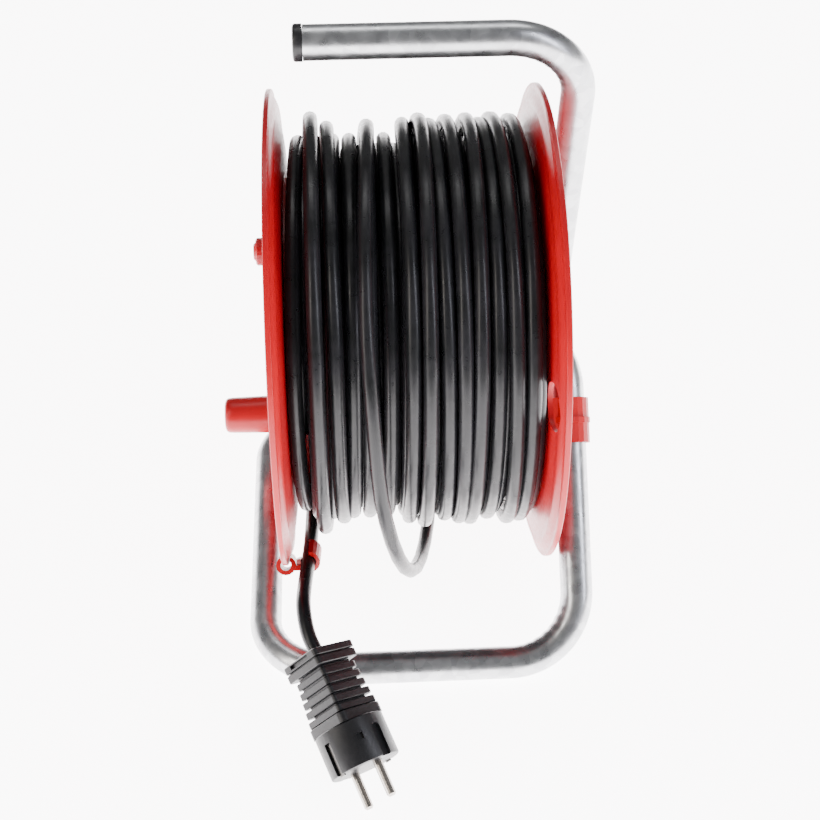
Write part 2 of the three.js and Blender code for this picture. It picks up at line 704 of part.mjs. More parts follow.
function plugSleeve() {
  const from = PLUG_COLLAR_END + GAP;
  const to = PLUG_FRONT_START - GAP;
  const pitch = (to - from) / RIB_COUNT;
  const ribs = Array.from({ length: RIB_COUNT }, (_, k) => {
    const start = from + pitch * (k + 1 - RIB_SHARE);
    const size = 24 + (3 * k) / (RIB_COUNT - 1);
    const end = k < RIB_COUNT - 1 ? start + RIB_SHARE * pitch : to;
    return plugPlate(size, size, 1.8, start, end);
  });
  return placedPlug(joined(plugPlate(21, 21, 1.8, from, to), ...ribs));
}

function plugFront() {
  const faceStart = PLUG_FRONT_START + PLUG_SHOULDER;
  const shoulder = plugPlate(29, 29, 4, PLUG_FRONT_START, faceStart + 0.5);
  const body = ring(faceStart, PLUG_FACE, 0, PLUG_FRONT_R, 28).rotateY(-Math.PI / 2);
  const middle = (faceStart + PLUG_FACE) / 2 + 4;
  const guides = [1, -1].map((side) => box(5, 4.6, 20, side * (PLUG_FRONT_R + 0.7), 0, middle));
  const earths = [1, -1].map((side) => box(5, 4, 19, 0, 0, middle)
    .rotateZ(Math.PI / 2).translate(0, side * (PLUG_FRONT_R - 0.4), 0));
  const pinHoles = [1, -1].map((side) => (
    ring(PLUG_FACE - 8, PLUG_FACE + 1, 0, 2.7, 14).rotateY(-Math.PI / 2)
      .translate(side * PIN_PITCH / 2, 0, 0)
  ));
  return placedPlug(cut(joined(shoulder, body), ...guides, ...earths, ...pinHoles));
}

function plugPins() {
  return [1, -1].map((side) => {
    const pin = turned([
      [PLUG_FACE - 7.6, 0], [PLUG_FACE - 7.6, 2.4], [PLUG_FACE + 17.9, 2.4],
      [PLUG_FACE + 19, 1.5], [PLUG_FACE + 19, 0],
    ], 14);
    return placedPlug(pin.rotateY(-Math.PI / 2).translate(side * PIN_PITCH / 2, 0, 0));
  });
}

function plugEarthStrips() {
  const middle = (PLUG_FRONT_START + PLUG_SHOULDER + PLUG_FACE) / 2 + 3.6;
  return [1, -1].map((side) => (
    placedPlug(box(3.2, 1, 17, 0, side * (PLUG_FRONT_R - 2.2), middle))
  ));
}

// ---------------------------------------------------------------- assembly

const reel = new THREE.Group();
reel.position.set(...REEL_PLACE);

const frame = new THREE.Group();
reel.add(frame);
add(frame, 'frame_tube', frameTube(), galvanised);
add(frame, 'handle_end_cap', handleEndCap(), blackPlastic);
add(frame, 'axle_end_plug', axleEndPlug(), blackPlastic);
add(frame, 'retaining_washer', retainingWasher(), screwSteel);
add(frame, 'retaining_screw', retainingScrew(), screwSteel);
add(frame, 'flange_guide_clip', flangeGuideClip(), redPlastic);

const drum = new THREE.Group();
reel.add(drum);
add(drum, 'flange_right', rightFlange(), redPlastic);
add(drum, 'flange_left', leftFlange(), redPlastic);
add(drum, 'drum_core', drumCore(), redPlastic);
add(drum, 'hub_bush_outer', hubBush(45.9, 30), bushPlastic);
add(drum, 'hub_bush_inner', hubBush(HUB_LEFT_X - GAP - 1.5, 2), bushPlastic);
addEach(drum, 'flange_screw_right', flangeScrews(1), screwSteel);
addEach(drum, 'flange_screw_left', flangeScrews(-1), screwSteel);
add(drum, 'cord_anchor', cordAnchor(), greyPlastic);
add(drum, 'socket_panel', socketPanel(), blackPlastic);
add(drum, 'contact_carrier', contactCarrier(), greyPlastic);
addEach(drum, 'contact_sleeve', contactSleeves(), brass);
addEach(drum, 'earth_spring', earthSprings(), brass);
add(drum, 'panel_screw', panelScrew(), screwSteel);
add(drum, 'thermal_cutout', thermalCutout(), greyPlastic);
add(drum, 'cutout_collar', cutoutCollar(), redPlastic);
add(drum, 'crank_pin', knobPin(), screwSteel);
add(drum, 'cord_clip', cordClip(), redPlastic);
add(drum, 'cord_winding', cordWinding(), cordPvc);
add(drum, 'cord_slack_turn', slackTurn(), cordPvc);
add(drum, 'cord_tail', cordTail(), cordPvc);
add(drum, 'plug_collar', plugCollar(), blackPlastic);
add(drum, 'plug_sleeve', plugSleeve(), blackPlastic);
add(drum, 'plug_front', plugFront(), blackPlastic);
addEach(drum, 'plug_pin', plugPins(), screwSteel);
addEach(drum, 'plug_earth_strip', plugEarthStrips(), screwSteel);

const button = new THREE.Group();
drum.add(button);
add(button, 'reset_button', resetButton(), redPlastic);

const crank = new THREE.Group();
drum.add(crank);
add(crank, 'crank_knob', crankKnob(), redPlastic);

export default reel;
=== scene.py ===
"""The looks of an extension cord reel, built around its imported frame. Lengths are in metres.

X runs along the drum's axis, with the sockets and the crank at -X, and Z is up.
Pieces of the reel are drawn in millimetres about the drum's axis, as the part's source draws them.
"""

import json
import math

import bmesh
import bpy
from mathutils import Matrix, Vector

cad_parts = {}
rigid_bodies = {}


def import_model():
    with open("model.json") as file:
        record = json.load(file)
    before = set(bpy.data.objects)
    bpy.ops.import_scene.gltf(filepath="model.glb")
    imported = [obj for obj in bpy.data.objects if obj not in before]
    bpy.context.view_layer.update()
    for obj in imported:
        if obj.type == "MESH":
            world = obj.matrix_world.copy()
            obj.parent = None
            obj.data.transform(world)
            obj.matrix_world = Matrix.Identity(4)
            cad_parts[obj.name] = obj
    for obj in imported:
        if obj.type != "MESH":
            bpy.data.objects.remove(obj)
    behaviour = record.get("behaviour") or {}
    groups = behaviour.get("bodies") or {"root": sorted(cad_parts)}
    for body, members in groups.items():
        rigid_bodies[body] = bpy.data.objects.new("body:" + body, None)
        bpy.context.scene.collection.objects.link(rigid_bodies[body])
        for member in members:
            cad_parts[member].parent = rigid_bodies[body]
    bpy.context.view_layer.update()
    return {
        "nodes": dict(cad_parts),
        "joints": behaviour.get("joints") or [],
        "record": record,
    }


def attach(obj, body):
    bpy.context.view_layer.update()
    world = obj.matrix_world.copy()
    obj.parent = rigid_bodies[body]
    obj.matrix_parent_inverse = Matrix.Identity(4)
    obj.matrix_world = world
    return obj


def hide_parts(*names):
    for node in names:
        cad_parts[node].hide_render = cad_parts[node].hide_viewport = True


MM = 0.001

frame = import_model()
DRUM_SPIN = next(j for j in frame["joints"] if j["name"] == "drum_spin")
AXIS = Vector(DRUM_SPIN["pos_m"])

# ---------------------------------------------------------------- sizes, in millimetres

TUBE_R = 8.8
TUBE_BORE_R = 7.3
BEND_R = 38
FRAME_CORNERS = [
    (-51, 5, 168.5),
    (87.3, 5, 168.5),
    (87.3, 82, -135.5),
    (-84.6, 82, -135.5),
    (-84.6, -129, -135.5),
    (87.3, -129, -135.5),
    (87.3, 0, 0),
    (-14, 0, 0),
]

FLANGE_R = 130
WEB_IN = 65
WEB_OUT = 67.6
CORE_R = 86
PANEL_OPENING_R = 61.9
HUB_R = 16.2
HUB_BORE_R = 13.2
CUP_MOUTH_R = 33.4
SCREW_CIRCLE_R = 78.8
SCREW_ANGLES = (45, 135, 225, 315)
RIM_HOLE_R = 12.4
RIM_HOLE_RIGHT = (111, 166)
RIM_HOLE_LEFT = (112, 252)
KNOB_PLACE = (98, 292)

CORD_R = 3.9
TURN_STEPS = 44

PLUG_SIZE = 28
PLUG_NECK_SIZE = 25
GRIP_CORE_SIZE = 21
GRIP_START = 9.3
GRIP_END = 34.7
RIBS = 5
RIB_SHARE = 0.72
SHOULDER_SIZE = 29
SHOULDER_START = 35
FACE_START = 40.4
FACE_END = 63
FACE_SIZE = 36.8

CAMERA_PLACE = (-34.5, -693, 511)
CAMERA_TILT = 39.5
CAMERA_TURN = -2.94
CAMERA_LENS = 68.2

# ---------------------------------------------------------------- mesh helpers


def from_drum(x, y, z):
    """A point given in millimetres from the middle of the drum."""
    return AXIS + Vector((x, y, z)) * MM


def polar(radius, degrees):
    """Y and Z at a radius, and at an angle from +Y towards +Z."""
    angle = math.radians(degrees)
    return radius * math.cos(angle), radius * math.sin(angle)


def new_object(name, data):
    obj = bpy.data.objects.new(name, data)
    bpy.context.scene.collection.objects.link(obj)
    return obj


def mesh_object(name, points, faces, smooth_angle=35):
    mesh = bpy.data.meshes.new(name)
    mesh.from_pydata([tuple(p) for p in points], [], faces)
    mesh.validate()
    bm = bmesh.new()
    bm.from_mesh(mesh)
    bmesh.ops.recalc_face_normals(bm, faces=bm.faces)
    bm.to_mesh(mesh)
    bm.free()
    shade_smooth(mesh, smooth_angle)
    return new_object(name, mesh)


def shade_smooth(mesh, angle):
    """Smooth shading, with sharp edges where the surface turns by more than the angle."""
    mesh.shade_smooth()
    mesh.set_sharp_from_angle(angle=math.radians(angle))


def loft(rings, closed_ends=True, closed_loop=False):
    """Faces over rings of equally many points."""
    points = [p for ring in rings for p in ring]
    count = len(rings[0])
    faces = []
    last = len(rings) if closed_loop else len(rings) - 1
    for i in range(last):
        a = i * count
        b = ((i + 1) % len(rings)) * count
        for k in range(count):
            n = (k + 1) % count
            faces.append((a + k, a + n, b + n, b + k))
    if closed_ends and not closed_loop:
        faces.append(tuple(range(count))[::-1])
        start = (len(rings) - 1) * count
        faces.append(tuple(range(start, start + count)))
    return points, faces


def turned(name, outline, segments=96, centre=(0, 0), smooth_angle=35):
    """A solid turned about X from a closed outline of (x, radius), about an axis at centre (y, z)."""
    rings = []
    for x, r in outline:
        r = max(r, 0.01)
        ring = []
        for k in range(segments):
            y, z = polar(r, 360 * k / segments)
            ring.append(from_drum(x, centre[0] + y, centre[1] + z))
        rings.append(ring)
    return mesh_object(name, *loft(rings, closed_loop=True), smooth_angle=smooth_angle)


def box_solid(name, size, place):
    """A box drawn at the origin and then put in place by a matrix, in metres."""
    x, y, z = (s / 2 * MM for s in size)
    rings = [[(x, y, h), (-x, y, h), (-x, -y, h), (x, -y, h)] for h in (-z, z)]
    points, faces = loft(rings)
    return mesh_object(name, [place @ Vector(p) for p in points], faces)


def carve(obj, *cutters):
    """Cuts the cutters out of a piece and removes them."""
    for cutter in cutters:
        modifier = obj.modifiers.new("carve", "BOOLEAN")
        modifier.operation = "DIFFERENCE"
        modifier.solver = "EXACT"
        modifier.object = cutter
    graph = bpy.context.evaluated_depsgraph_get()
    mesh = bpy.data.meshes.new_from_object(obj.evaluated_get(graph))
    obj.modifiers.clear()
    obj.data = mesh
    shade_smooth(mesh, 30)
    for cutter in cutters:
        bpy.data.objects.remove(cutter)


def soften(obj, width, segments=2):
    """Rounds a piece's sharp edges."""
    modifier = obj.modifiers.new("soften", "BEVEL")
    modifier.width = width * MM
    modifier.segments = segments
    modifier.limit_method = "ANGLE"
    modifier.angle_limit = math.radians(40)
    modifier.harden_normals = False


# ---------------------------------------------------------------- materials


class Look:
    """A material's node tree, with short ways to add nodes to it."""

    def __init__(self, name, color, roughness, **sockets):
        self.material = bpy.data.materials.new(name)
        self.material.use_nodes = True
        self.nodes = self.material.node_tree.nodes
        self.links = self.material.node_tree.links
        self.shader = self.nodes["Principled BSDF"]
        self.shader.inputs["Base Color"].default_value = (*color, 1)
        self.shader.inputs["Roughness"].default_value = roughness
        for socket, value in sockets.items():
            self.shader.inputs[socket.replace("_", " ")].default_value = value
        self.height = None

    def add(self, kind, **values):
        node = self.nodes.new(kind)
        for key, value in values.items():
            if hasattr(node, key):
                setattr(node, key, value)
            else:
                node.inputs[key].default_value = value
        return node

    def place(self, scale=(1, 1, 1)):
        coordinates = self.add("ShaderNodeTexCoord")
        mapping = self.add("ShaderNodeMapping", Scale=scale)
        self.links.new(coordinates.outputs["Object"], mapping.inputs["Vector"])
        return mapping.outputs["Vector"]

    def noise(self, scale, detail=3.0, stretch=(1, 1, 1)):
        node = self.add("ShaderNodeTexNoise", Scale=scale, Detail=detail)
        self.links.new(self.place(stretch), node.inputs["Vector"])
        return node.outputs["Fac"]

    def cells(self, scale, stretch=(1, 1, 1)):
        node = self.add("ShaderNodeTexVoronoi", Scale=scale)
        self.links.new(self.place(stretch), node.inputs["Vector"])
        return node.outputs["Color"]

    def spread(self, value, socket, low, high, fade=(0.3, 0.7)):
        """Turns a 0 to 1 pattern into a range of values, or of colours, on a shader socket."""
        if isinstance(low, tuple):
            ramp = self.add("ShaderNodeValToRGB")
            ramp.color_ramp.elements[0].position = fade[0]
            ramp.color_ramp.elements[0].color = (*low, 1)
            ramp.color_ramp.elements[1].position = fade[1]
            ramp.color_ramp.elements[1].color = (*high, 1)
            self.links.new(value, ramp.inputs["Fac"])
            self.links.new(ramp.outputs["Color"], self.shader.inputs[socket])
            return
        ramp = self.add("ShaderNodeMapRange")
        ramp.inputs["From Min"].default_value = fade[0]
        ramp.inputs["From Max"].default_value = fade[1]
        ramp.inputs["To Min"].default_value = low
        ramp.inputs["To Max"].default_value = high
        self.links.new(value, ramp.inputs["Value"])
        self.links.new(ramp.outputs["Result"], self.shader.inputs[socket])

    def bump(self, value, strength, distance):
        node = self.add("ShaderNodeBump", Strength=strength, Distance=distance)
        self.links.new(value, node.inputs["Height"])
        if self.height:
            self.links.new(self.height, node.inputs["Normal"])
        self.height = node.outputs["Normal"]
        self.links.new(self.height, self.shader.inputs["Normal"])


def galvanised_look():
    look = Look("galvanised_steel", (0.5, 0.51, 0.52), 0.3, Metallic=1.0)
    look.spread(look.cells(210), "Base Color", (0.36, 0.365, 0.38), (0.48, 0.49, 0.5), (0.1, 0.9))
    look.spread(look.noise(160, 4), "Roughness", 0.26, 0.38)
    look.bump(look.noise(60, 2), 0.08, 0.0008)
    return look.material


def red_look(name="red_plastic", color=(0.42, 0.0006, 0.006), roughness=0.34):
    look = Look(name, color, roughness, Specular_IOR_Level=0.3)
    deep = tuple(c * 0.84 for c in color)
    look.spread(look.noise(45, 3), "Base Color", deep, color)
    look.spread(look.noise(500, 3), "Roughness", roughness * 0.85, roughness * 1.25)
    look.bump(look.noise(18, 1), 0.05, 0.001)
    return look.material


def plastic_look(name, color, roughness, grain=1800):
    look = Look(name, color, roughness, Specular_IOR_Level=0.32)
    light = tuple(min(1, c * 1.35 + 0.004) for c in color)
    look.spread(look.noise(60, 4), "Base Color", color, light)
    look.spread(look.noise(grain, 3), "Roughness", roughness * 0.85, roughness * 1.2)
    look.bump(look.noise(grain, 2), 0.14, 0.00012)
    return look.material


def cord_look():
    look = Look("cord_pvc", (0.006, 0.006, 0.007), 0.3, Specular_IOR_Level=0.26)
    look.spread(look.noise(70, 4), "Base Color", (0.004, 0.0045, 0.005), (0.011, 0.011, 0.013))
    look.spread(look.noise(260, 4), "Roughness", 0.26, 0.38)
    look.bump(look.noise(420, 3), 0.1, 0.0002)
    return look.material


def metal_look(name, color, roughness):
    look = Look(name, color, roughness, Metallic=1.0)
    bright = tuple(min(1, c * 1.2) for c in color)
    look.spread(look.noise(500, 4), "Base Color", color, bright)
    look.spread(look.noise(1500, 3), "Roughness", roughness * 0.8, roughness * 1.3)
    look.bump(look.noise(1200, 3), 0.1, 0.0001)
    return look.material


GALVANISED = galvanised_look()
RED = red_look()
RED_CLIP = red_look("red_clip_plastic", (0.42, 0.001, 0.004), 0.34)
BLACK = plastic_look("black_plastic", (0.005, 0.005, 0.006), 0.38, 900)
GREY = plastic_look("grey_plastic", (0.02, 0.02, 0.023), 0.5)
BUSH = plastic_look("bush_plastic", (0.78, 0.75, 0.68), 0.45)
CORD = cord_look()
SCREW = metal_look("zinc_plated_steel", (0.5, 0.51, 0.53), 0.3)
PIN = metal_look("plug_pin_nickel", (0.36, 0.33, 0.3), 0.22)
STRIP = metal_look("earth_strip_nickel", (0.12, 0.115, 0.11), 0.4)
BRASS = metal_look("brass", (0.72, 0.5, 0.2), 0.28)

SLOT_LOOKS = {
    "galvanised_tube": GALVANISED,
    "screw_steel": SCREW,
    "brass": BRASS,
    "red_plastic": RED,
    "black_plastic": BLACK,
    "grey_plastic": GREY,
    "bush_plastic": BUSH,
    "cord_pvc": CORD,
}


def finish_piece(obj, look, slot, body, *nodes):
    """Gives a new piece its material and its body, and hides the nodes it stands for; the slot argument
    is not used.
    """
    obj.data.materials.clear()
    obj.data.materials.append(look)
    if nodes:
        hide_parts(*nodes)
    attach(obj, body)
    return obj


for entry in frame["record"]["subparts"]:
    node = frame["nodes"][entry["node"]]
    node.data.materials.clear()
    node.data.materials.append(SLOT_LOOKS[entry["material_slot"]])
    shade_smooth(node.data, 35)

# ---------------------------------------------------------------- camera and studio


def studio():
    camera = bpy.data.cameras.new("camera")
    camera.lens = CAMERA_LENS
    eye = new_object("camera", camera)
    eye.location = from_drum(*CAMERA_PLACE)
    eye.rotation_euler = (math.radians(90 - CAMERA_TILT), 0, math.radians(CAMERA_TURN))
    bpy.context.scene.camera = eye

    world = bpy.data.worlds.new("studio")
    world.use_nodes = True
    background = world.node_tree.nodes["Background"]
    background.inputs["Color"].default_value = (1, 1, 1, 1)
    background.inputs["Strength"].default_value = 0.3
    bpy.context.scene.world = world

    half = 6
    corners = [(-half, -half, 0), (half, -half, 0), (half, half, 0), (-half, half, 0)]
    floor = mesh_object("floor", corners, [(0, 1, 2, 3)])
    paper = Look("floor_paper", (0.93, 0.92, 0.925), 0.4, Specular_IOR_Level=0.5)
    paper.shader.inputs["Emission Color"].default_value = (1, 0.97, 0.975, 1)
    paper.shader.inputs["Emission Strength"].default_value = 9
    floor.data.materials.append(paper.material)

    softbox("softbox_top", (0, 0.5, 1.5), (1.2, 0.4), 7, (1, 1, 1))
    softbox("softbox_left", (-1.2, -0.75, 0.95), (0.2, 1.2), 13, (1, 0.93, 0.85))
    softbox("softbox_right", (1.15, -0.7, 1.05), (0.2, 1.2), 13, (0.86, 0.88, 1))


def softbox(name, place, size, power, color):
    light = bpy.data.lights.new(name, "AREA")
    light.shape = "RECTANGLE"
    light.size, light.size_y = size
    light.energy = power
    light.color = color
    lamp = new_object(name, light)
    lamp.location = place
    aim = Vector((0, 0, 0.14)) - Vector(place)
    lamp.rotation_euler = aim.to_track_quat("-Z", "Y").to_euler()


studio()

# ---------------------------------------------------------------- cord


def curve_cord(name, points):
    """A round cord along points, as one open curve."""
    curve = bpy.data.curves.new(name, "CURVE")
    curve.dimensions = "3D"
    curve.bevel_depth = CORD_R * MM
    curve.bevel_resolution = 4
    curve.use_fill_caps = True
    spline = curve.splines.new("POLY")
    spline.points.add(len(points) - 1)
    for target, point in zip(spline.points, points):
        target.co = (*point, 1)
    spline.use_smooth = True
    return new_object(name, curve)


def smoothstep(low, high, value):
    share = min(max((value - low) / (high - low), 0), 1)
    return share * share * (3 - 2 * share)


# the hidden layers: each one's radius, where it starts and ends along X, and how many turns it has
INNER_LAYERS = [(90.1, -57, 57, 15), (96.3, 58, -58, 15), (102, -60.5, 60.5, 13)]

# the last layer: where each turn lies below the drum, in front and on top
LAST_LAYER_R = 109.5
LAST_LAYER_START = 57
TURN_PITCH = 8.4
AFTER_SLACK_START = -40
AFTER_SLACK_PITCH = 9.5


def turn_places(turn, x, radius):
    """(place along X, radius) below, in front and on top, for a turn wound a little unevenly."""
    lean = 1.8 * math.sin(1.7 * turn)
    radius += 1.6 * math.sin(2.3 * turn)
    return (x + lean, radius - 3), (x, radius), (x - lean, radius + 1)


LAST_LAYER = [turn_places(i, LAST_LAYER_START - TURN_PITCH * i, LAST_LAYER_R) for i in range(8)]
AFTER_SLACK_TURN = [
    turn_places(i + 8, AFTER_SLACK_START - AFTER_SLACK_PITCH * i, LAST_LAYER_R - 1 + 3 * i)
    for i in range(2)
]
CONTROL_ANGLES = (230, 142, 60)
BACK_R = 109
LAST_BACK = (-58.5, 108)
SLACK_TURN_LOWEST = 245


def slack_turn_knots(turn):
    """The turn that hangs clear: out from behind the winding, under it, and up its front."""
    knots = [(320, 17, BACK_R + 2)]
    for angle in (300, 285, 270, 258, 245, 232, 218, 204, 190, 172):
        from_lowest = (angle - SLACK_TURN_LOWEST) / 75
        radius = 118.8 + 19 * math.cos(math.pi / 2 * from_lowest) ** 2
        knots.append((angle, -22 + 38 * smoothstep(170, 290, angle), radius))
    knots += [(145, -24.5, 114.5), (118, -23.5, 112), (60, -20, 109.4)]
    return [(360 * turn - angle, x, r) for angle, x, r in knots]


def wound_knots():
    """(angle travelled, place along X, radius) along the whole wound length, in order."""
    knots = [(-180, -58, CORE_R - 1)]
    turn = 0
    for radius, start, end, turns in INNER_LAYERS:
        for i in range(4 * turns):
            share = i / (4 * turns - 1)
            edge = 2.2 * (1 - smoothstep(0, 0.03, share)) if turn else 0
            sway = 0.7 * math.sin(2.3 * i) + 0.5 * math.sin(0.61 * i)
            x = start + (end - start) * share + sway * smoothstep(0, 0.1, share * (1 - share) * 4)
            knots.append((360 * turn + 90 * i - 160, x, radius - edge))
        turn += turns

    turn += 1
    knots = [k for k in knots if k[0] < 360 * turn - 320]
    for row in LAST_LAYER:
        if row is not LAST_LAYER[0]:
            knots.append((360 * turn - 315, (knots[-1][1] + row[0][0]) / 2, BACK_R))
        for angle, (x, r) in zip(CONTROL_ANGLES, row):
            knots.append((360 * turn - angle, x, r))
        turn += 1
    knots.extend(slack_turn_knots(turn))
    turn += 1
    for row in AFTER_SLACK_TURN:
        knots.append((360 * turn - 315, (knots[-1][1] + row[0][0]) / 2, BACK_R))
        for angle, (x, r) in zip(CONTROL_ANGLES, row):
            knots.append((360 * turn - angle, x, r))
        turn += 1
    knots.append((360 * turn - 330, *LAST_BACK))
    knots.append((360 * turn - TAIL_START, TAIL_ROUTE[0][0], math.hypot(*TAIL_ROUTE[0][1:])))
    return knots


def between(knots, at):
    """The place and radius at an angle travelled, on smooth curves through the knots."""
    i = max(k for k in range(len(knots) - 1) if knots[k][0] <= at)
    a, b = knots[i], knots[i + 1]
    before, after = knots[max(i - 1, 0)], knots[min(i + 2, len(knots) - 1)]
    span = b[0] - a[0]
    t = (at - a[0]) / span
    found = []
    for k in (1, 2):
        slope_a = (b[k] - before[k]) / max(b[0] - before[0], 1)
        slope_b = (after[k] - a[k]) / max(after[0] - a[0], 1)
        value = (2 * t**3 - 3 * t**2 + 1) * a[k] + (t**3 - 2 * t**2 + t) * span * slope_a
        value += (3 * t**2 - 2 * t**3) * b[k] + (t**3 - t**2) * span * slope_b
        found.append(value)
    return found


def wound_cord():
    """The whole wound length: out of the core, layer over layer, with the slack turn in the last one."""
    knots = wound_knots()
    start, end = knots[0][0], knots[-1][0]
    steps = math.ceil((end - start) / 360 * TURN_STEPS)
    points = []
    for step in range(steps + 1):
        at = start + (end - start) * step / steps
        at = min(at, end - 1e-6)
        x, radius = between(knots, at)
        y, z = polar(radius, -at)
        points.append(from_drum(x, y, z))
    return curve_cord("wound_cord", points)


TAIL_ROUTE = [
    (-56.5, -14, -107.3),
    (-57, -38, -105.6),
    (-57.8, -62, -101.5),
    (-59, -84, -96),
    (-60.6, -107, -89.8),
    (-61.4, -128, -86.2),
    (-59.3, -142.4, -91),
    (-54.9, -152, -96.5),
]


def smooth_route(points, steps):
    """A Catmull-Rom curve through given points."""
    points = [Vector(p) for p in points]
    ends = [2 * points[0] - points[1], *points, 2 * points[-1] - points[-2]]
    route = []
    for i in range(len(points) - 1):
        p0, p1, p2, p3 = ends[i : i + 4]
        for k in range(steps):
            t = k / steps
            a = 2 * p1 + (p2 - p0) * t
            b = (2 * p0 - 5 * p1 + 4 * p2 - p3) * t * t
            c = (3 * p1 - p0 - 3 * p2 + p3) * t**3
            route.append((a + b + c) / 2)
    route.append(points[-1])
    return route


TAIL_START = math.degrees(math.atan2(TAIL_ROUTE[0][2], TAIL_ROUTE[0][1])) % 360
wound = wound_cord()
finish_piece(wound, CORD, "cord_pvc", "drum", "cord_winding", "cord_slack_turn")
tail_points = [from_drum(*p) for p in smooth_route(TAIL_ROUTE, 4)]
tail = curve_cord("cord_free_end", tail_points)
finish_piece(tail, CORD, "cord_pvc", "frame", "cord_tail")

# ---------------------------------------------------------------- frame tube


def bent_stations(corners, radius, bend_steps):
    """(point, direction, turn centre or None, share of the bend) along straights and round bends."""
    corners = [Vector(c) for c in corners]
    ways = [(b - a).normalized() for a, b in zip(corners, corners[1:])]
    stations = [(corners[0], ways[0], None, 0)]
    for corner, before, after in zip(corners[1:], ways, ways[1:]):
        turn = before.angle(after)
        start = corner - before * radius * math.tan(turn / 2)
        inward = (after - before * before.dot(after)).normalized()
        centre = start + inward * radius
        for k in range(bend_steps + 1):
            angle = turn * k / bend_steps
            point = start + before * radius * math.sin(angle)
            point += inward * radius * (1 - math.cos(angle))
            way = before * math.cos(angle) + inward * math.sin(angle)
            stations.append((point, way, centre, k / bend_steps))
    stations.append((corners[-1], ways[-1], None, 0))
    return stations


def frame_tube():
    """The one bent tube, hollow at its ends, with the small creases that bending leaves inside."""
    sides = 36
    outer, inner = [], []
    side = None
    for point, way, centre, share in bent_stations(FRAME_CORNERS, BEND_R, 36):
        if side is None:
            side = Vector((0, 1, 0))
        side = (side - way * side.dot(way)).normalized()
        third = way.cross(side)
        rings = ([], [])
        for k in range(sides):
            angle = 2 * math.pi * k / sides
            out = side * math.cos(angle) + third * math.sin(angle)
            crease = 0
            if centre:
                inside = max(0, out.dot((centre - point).normalized())) ** 3
                fade = math.sin(math.pi * share)
                crease = 0.22 * inside * fade * (1 - math.cos(2 * math.pi * 9 * share))
            rings[0].append(from_drum(*(point + out * (TUBE_R - crease))))
            rings[1].append(from_drum(*(point + out * TUBE_BORE_R)))
        outer.append(rings[0])
        inner.append(rings[1])
    rings = outer + inner[::-1]
    tube = mesh_object("bent_tube", *loft(rings, closed_loop=True), smooth_angle=40)
    finish_piece(tube, GALVANISED, "galvanised_tube", "frame", "frame_tube")


frame_tube()

# ---------------------------------------------------------------- flanges

RIM_OUTLINE = [
    (WEB_IN, 104),
    (WEB_IN + 0.35, 106.5),
    (66.6, 115),
    (67.4, 119.6),
    (67.1, 121.2),
    (67.5, 122.6),
    (68.6, 125.2),
    (69.5, 126.4),
    (69.8, 127.4),
    (69.8, 129.4),
    (70.2, 129.9),
    (71.3, FLANGE_R),
    (72.4, 129.9),
    (72.8, 129.4),
    (72.8, 127.6),
    (71.6, 125.8),
    (70.2, 122.5),
    (69.2, 116),
    (WEB_OUT + 0.3, 107.5),
    (WEB_OUT, 105),
]


def flange(name, outline, side, hole, extra=()):
    outline = [(side * x, r) for x, r in outline]
    piece = turned(name, outline, 160)
    cutters = []
    for place, radius in [(hole, RIM_HOLE_R), *(((SCREW_CIRCLE_R, a), 2.5) for a in SCREW_ANGLES)]:
        through = [(side * 60, 0), (side * 60, radius), (side * 78, radius), (side * 78, 0)]
        cutters.append(turned("cutter", through, 48, centre=polar(*place)))
    cutters.extend(extra)
    carve(piece, *cutters)
    soften(piece, 0.35, 2)
    return piece


def right_flange():
    outline = [(WEB_IN, 36), *RIM_OUTLINE, (WEB_OUT, CUP_MOUTH_R + 1.5)]
    outline += [(67.0, CUP_MOUTH_R), (44, 15.7), (44, HUB_BORE_R), (-12, HUB_BORE_R)]
    outline += [(-12, HUB_R), (42, HUB_R + 1)]
    piece = flange("right_flange", outline, 1, RIM_HOLE_RIGHT)
    finish_piece(piece, RED, "red_plastic", "drum", "flange_right")


def left_flange():
    outline = [(WEB_IN, PANEL_OPENING_R), *RIM_OUTLINE, (WEB_OUT, PANEL_OPENING_R)]
    pin = [(-60, 0), (-60, 3.8), (-78, 3.8), (-78, 0)]
    pin_cutter = turned("cutter", pin, 32, centre=polar(*KNOB_PLACE))
    piece = flange("left_flange", outline, -1, RIM_HOLE_LEFT, [pin_cutter])
    finish_piece(piece, RED, "red_plastic", "drum", "flange_left")
    boss = [(-67.2, 3.8), (-67.2, 8.4), (-71.4, 7.8), (-72, 7.2), (-72, 3.8)]
    boss = turned("crank_boss", boss, 48, centre=polar(*KNOB_PLACE))
    finish_piece(boss, RED, "red_plastic", "drum")


right_flange()
left_flange()

# ---------------------------------------------------------------- crank and caps


def crank_knob():
    outline = [
        (-73.2, 4.0),
        (-73.2, 10.4),
        (-73.8, 11.1),
        (-74.8, 11.4),
        (-80, 11.35),
        (-104, 10.75),
        (-107, 10.5),
        (-108.3, 9.6),
        (-109, 8.0),
        (-109, 0),
        (-104.3, 0),
        (-104.3, 4.0),
    ]
    knob = turned("turning_knob", outline, 64, centre=polar(*KNOB_PLACE))
    finish_piece(knob, RED, "red_plastic", "knob", "crank_knob")


def handle_cap():
    outline = [
        (-56, 0),
        (-56, 7.6),
        (-55.6, 8.7),
        (-54.8, 9.2),
        (-51.3, 9.2),
        (-51.3, 6.6),
        (-38, 6.2),
        (-38, 0),
    ]
    cap = turned("tube_cap", outline, 64, centre=(5, 168.5))
    finish_piece(cap, BLACK, "black_plastic", "frame", "handle_end_cap")


crank_knob()
handle_cap()

# ---------------------------------------------------------------- plug

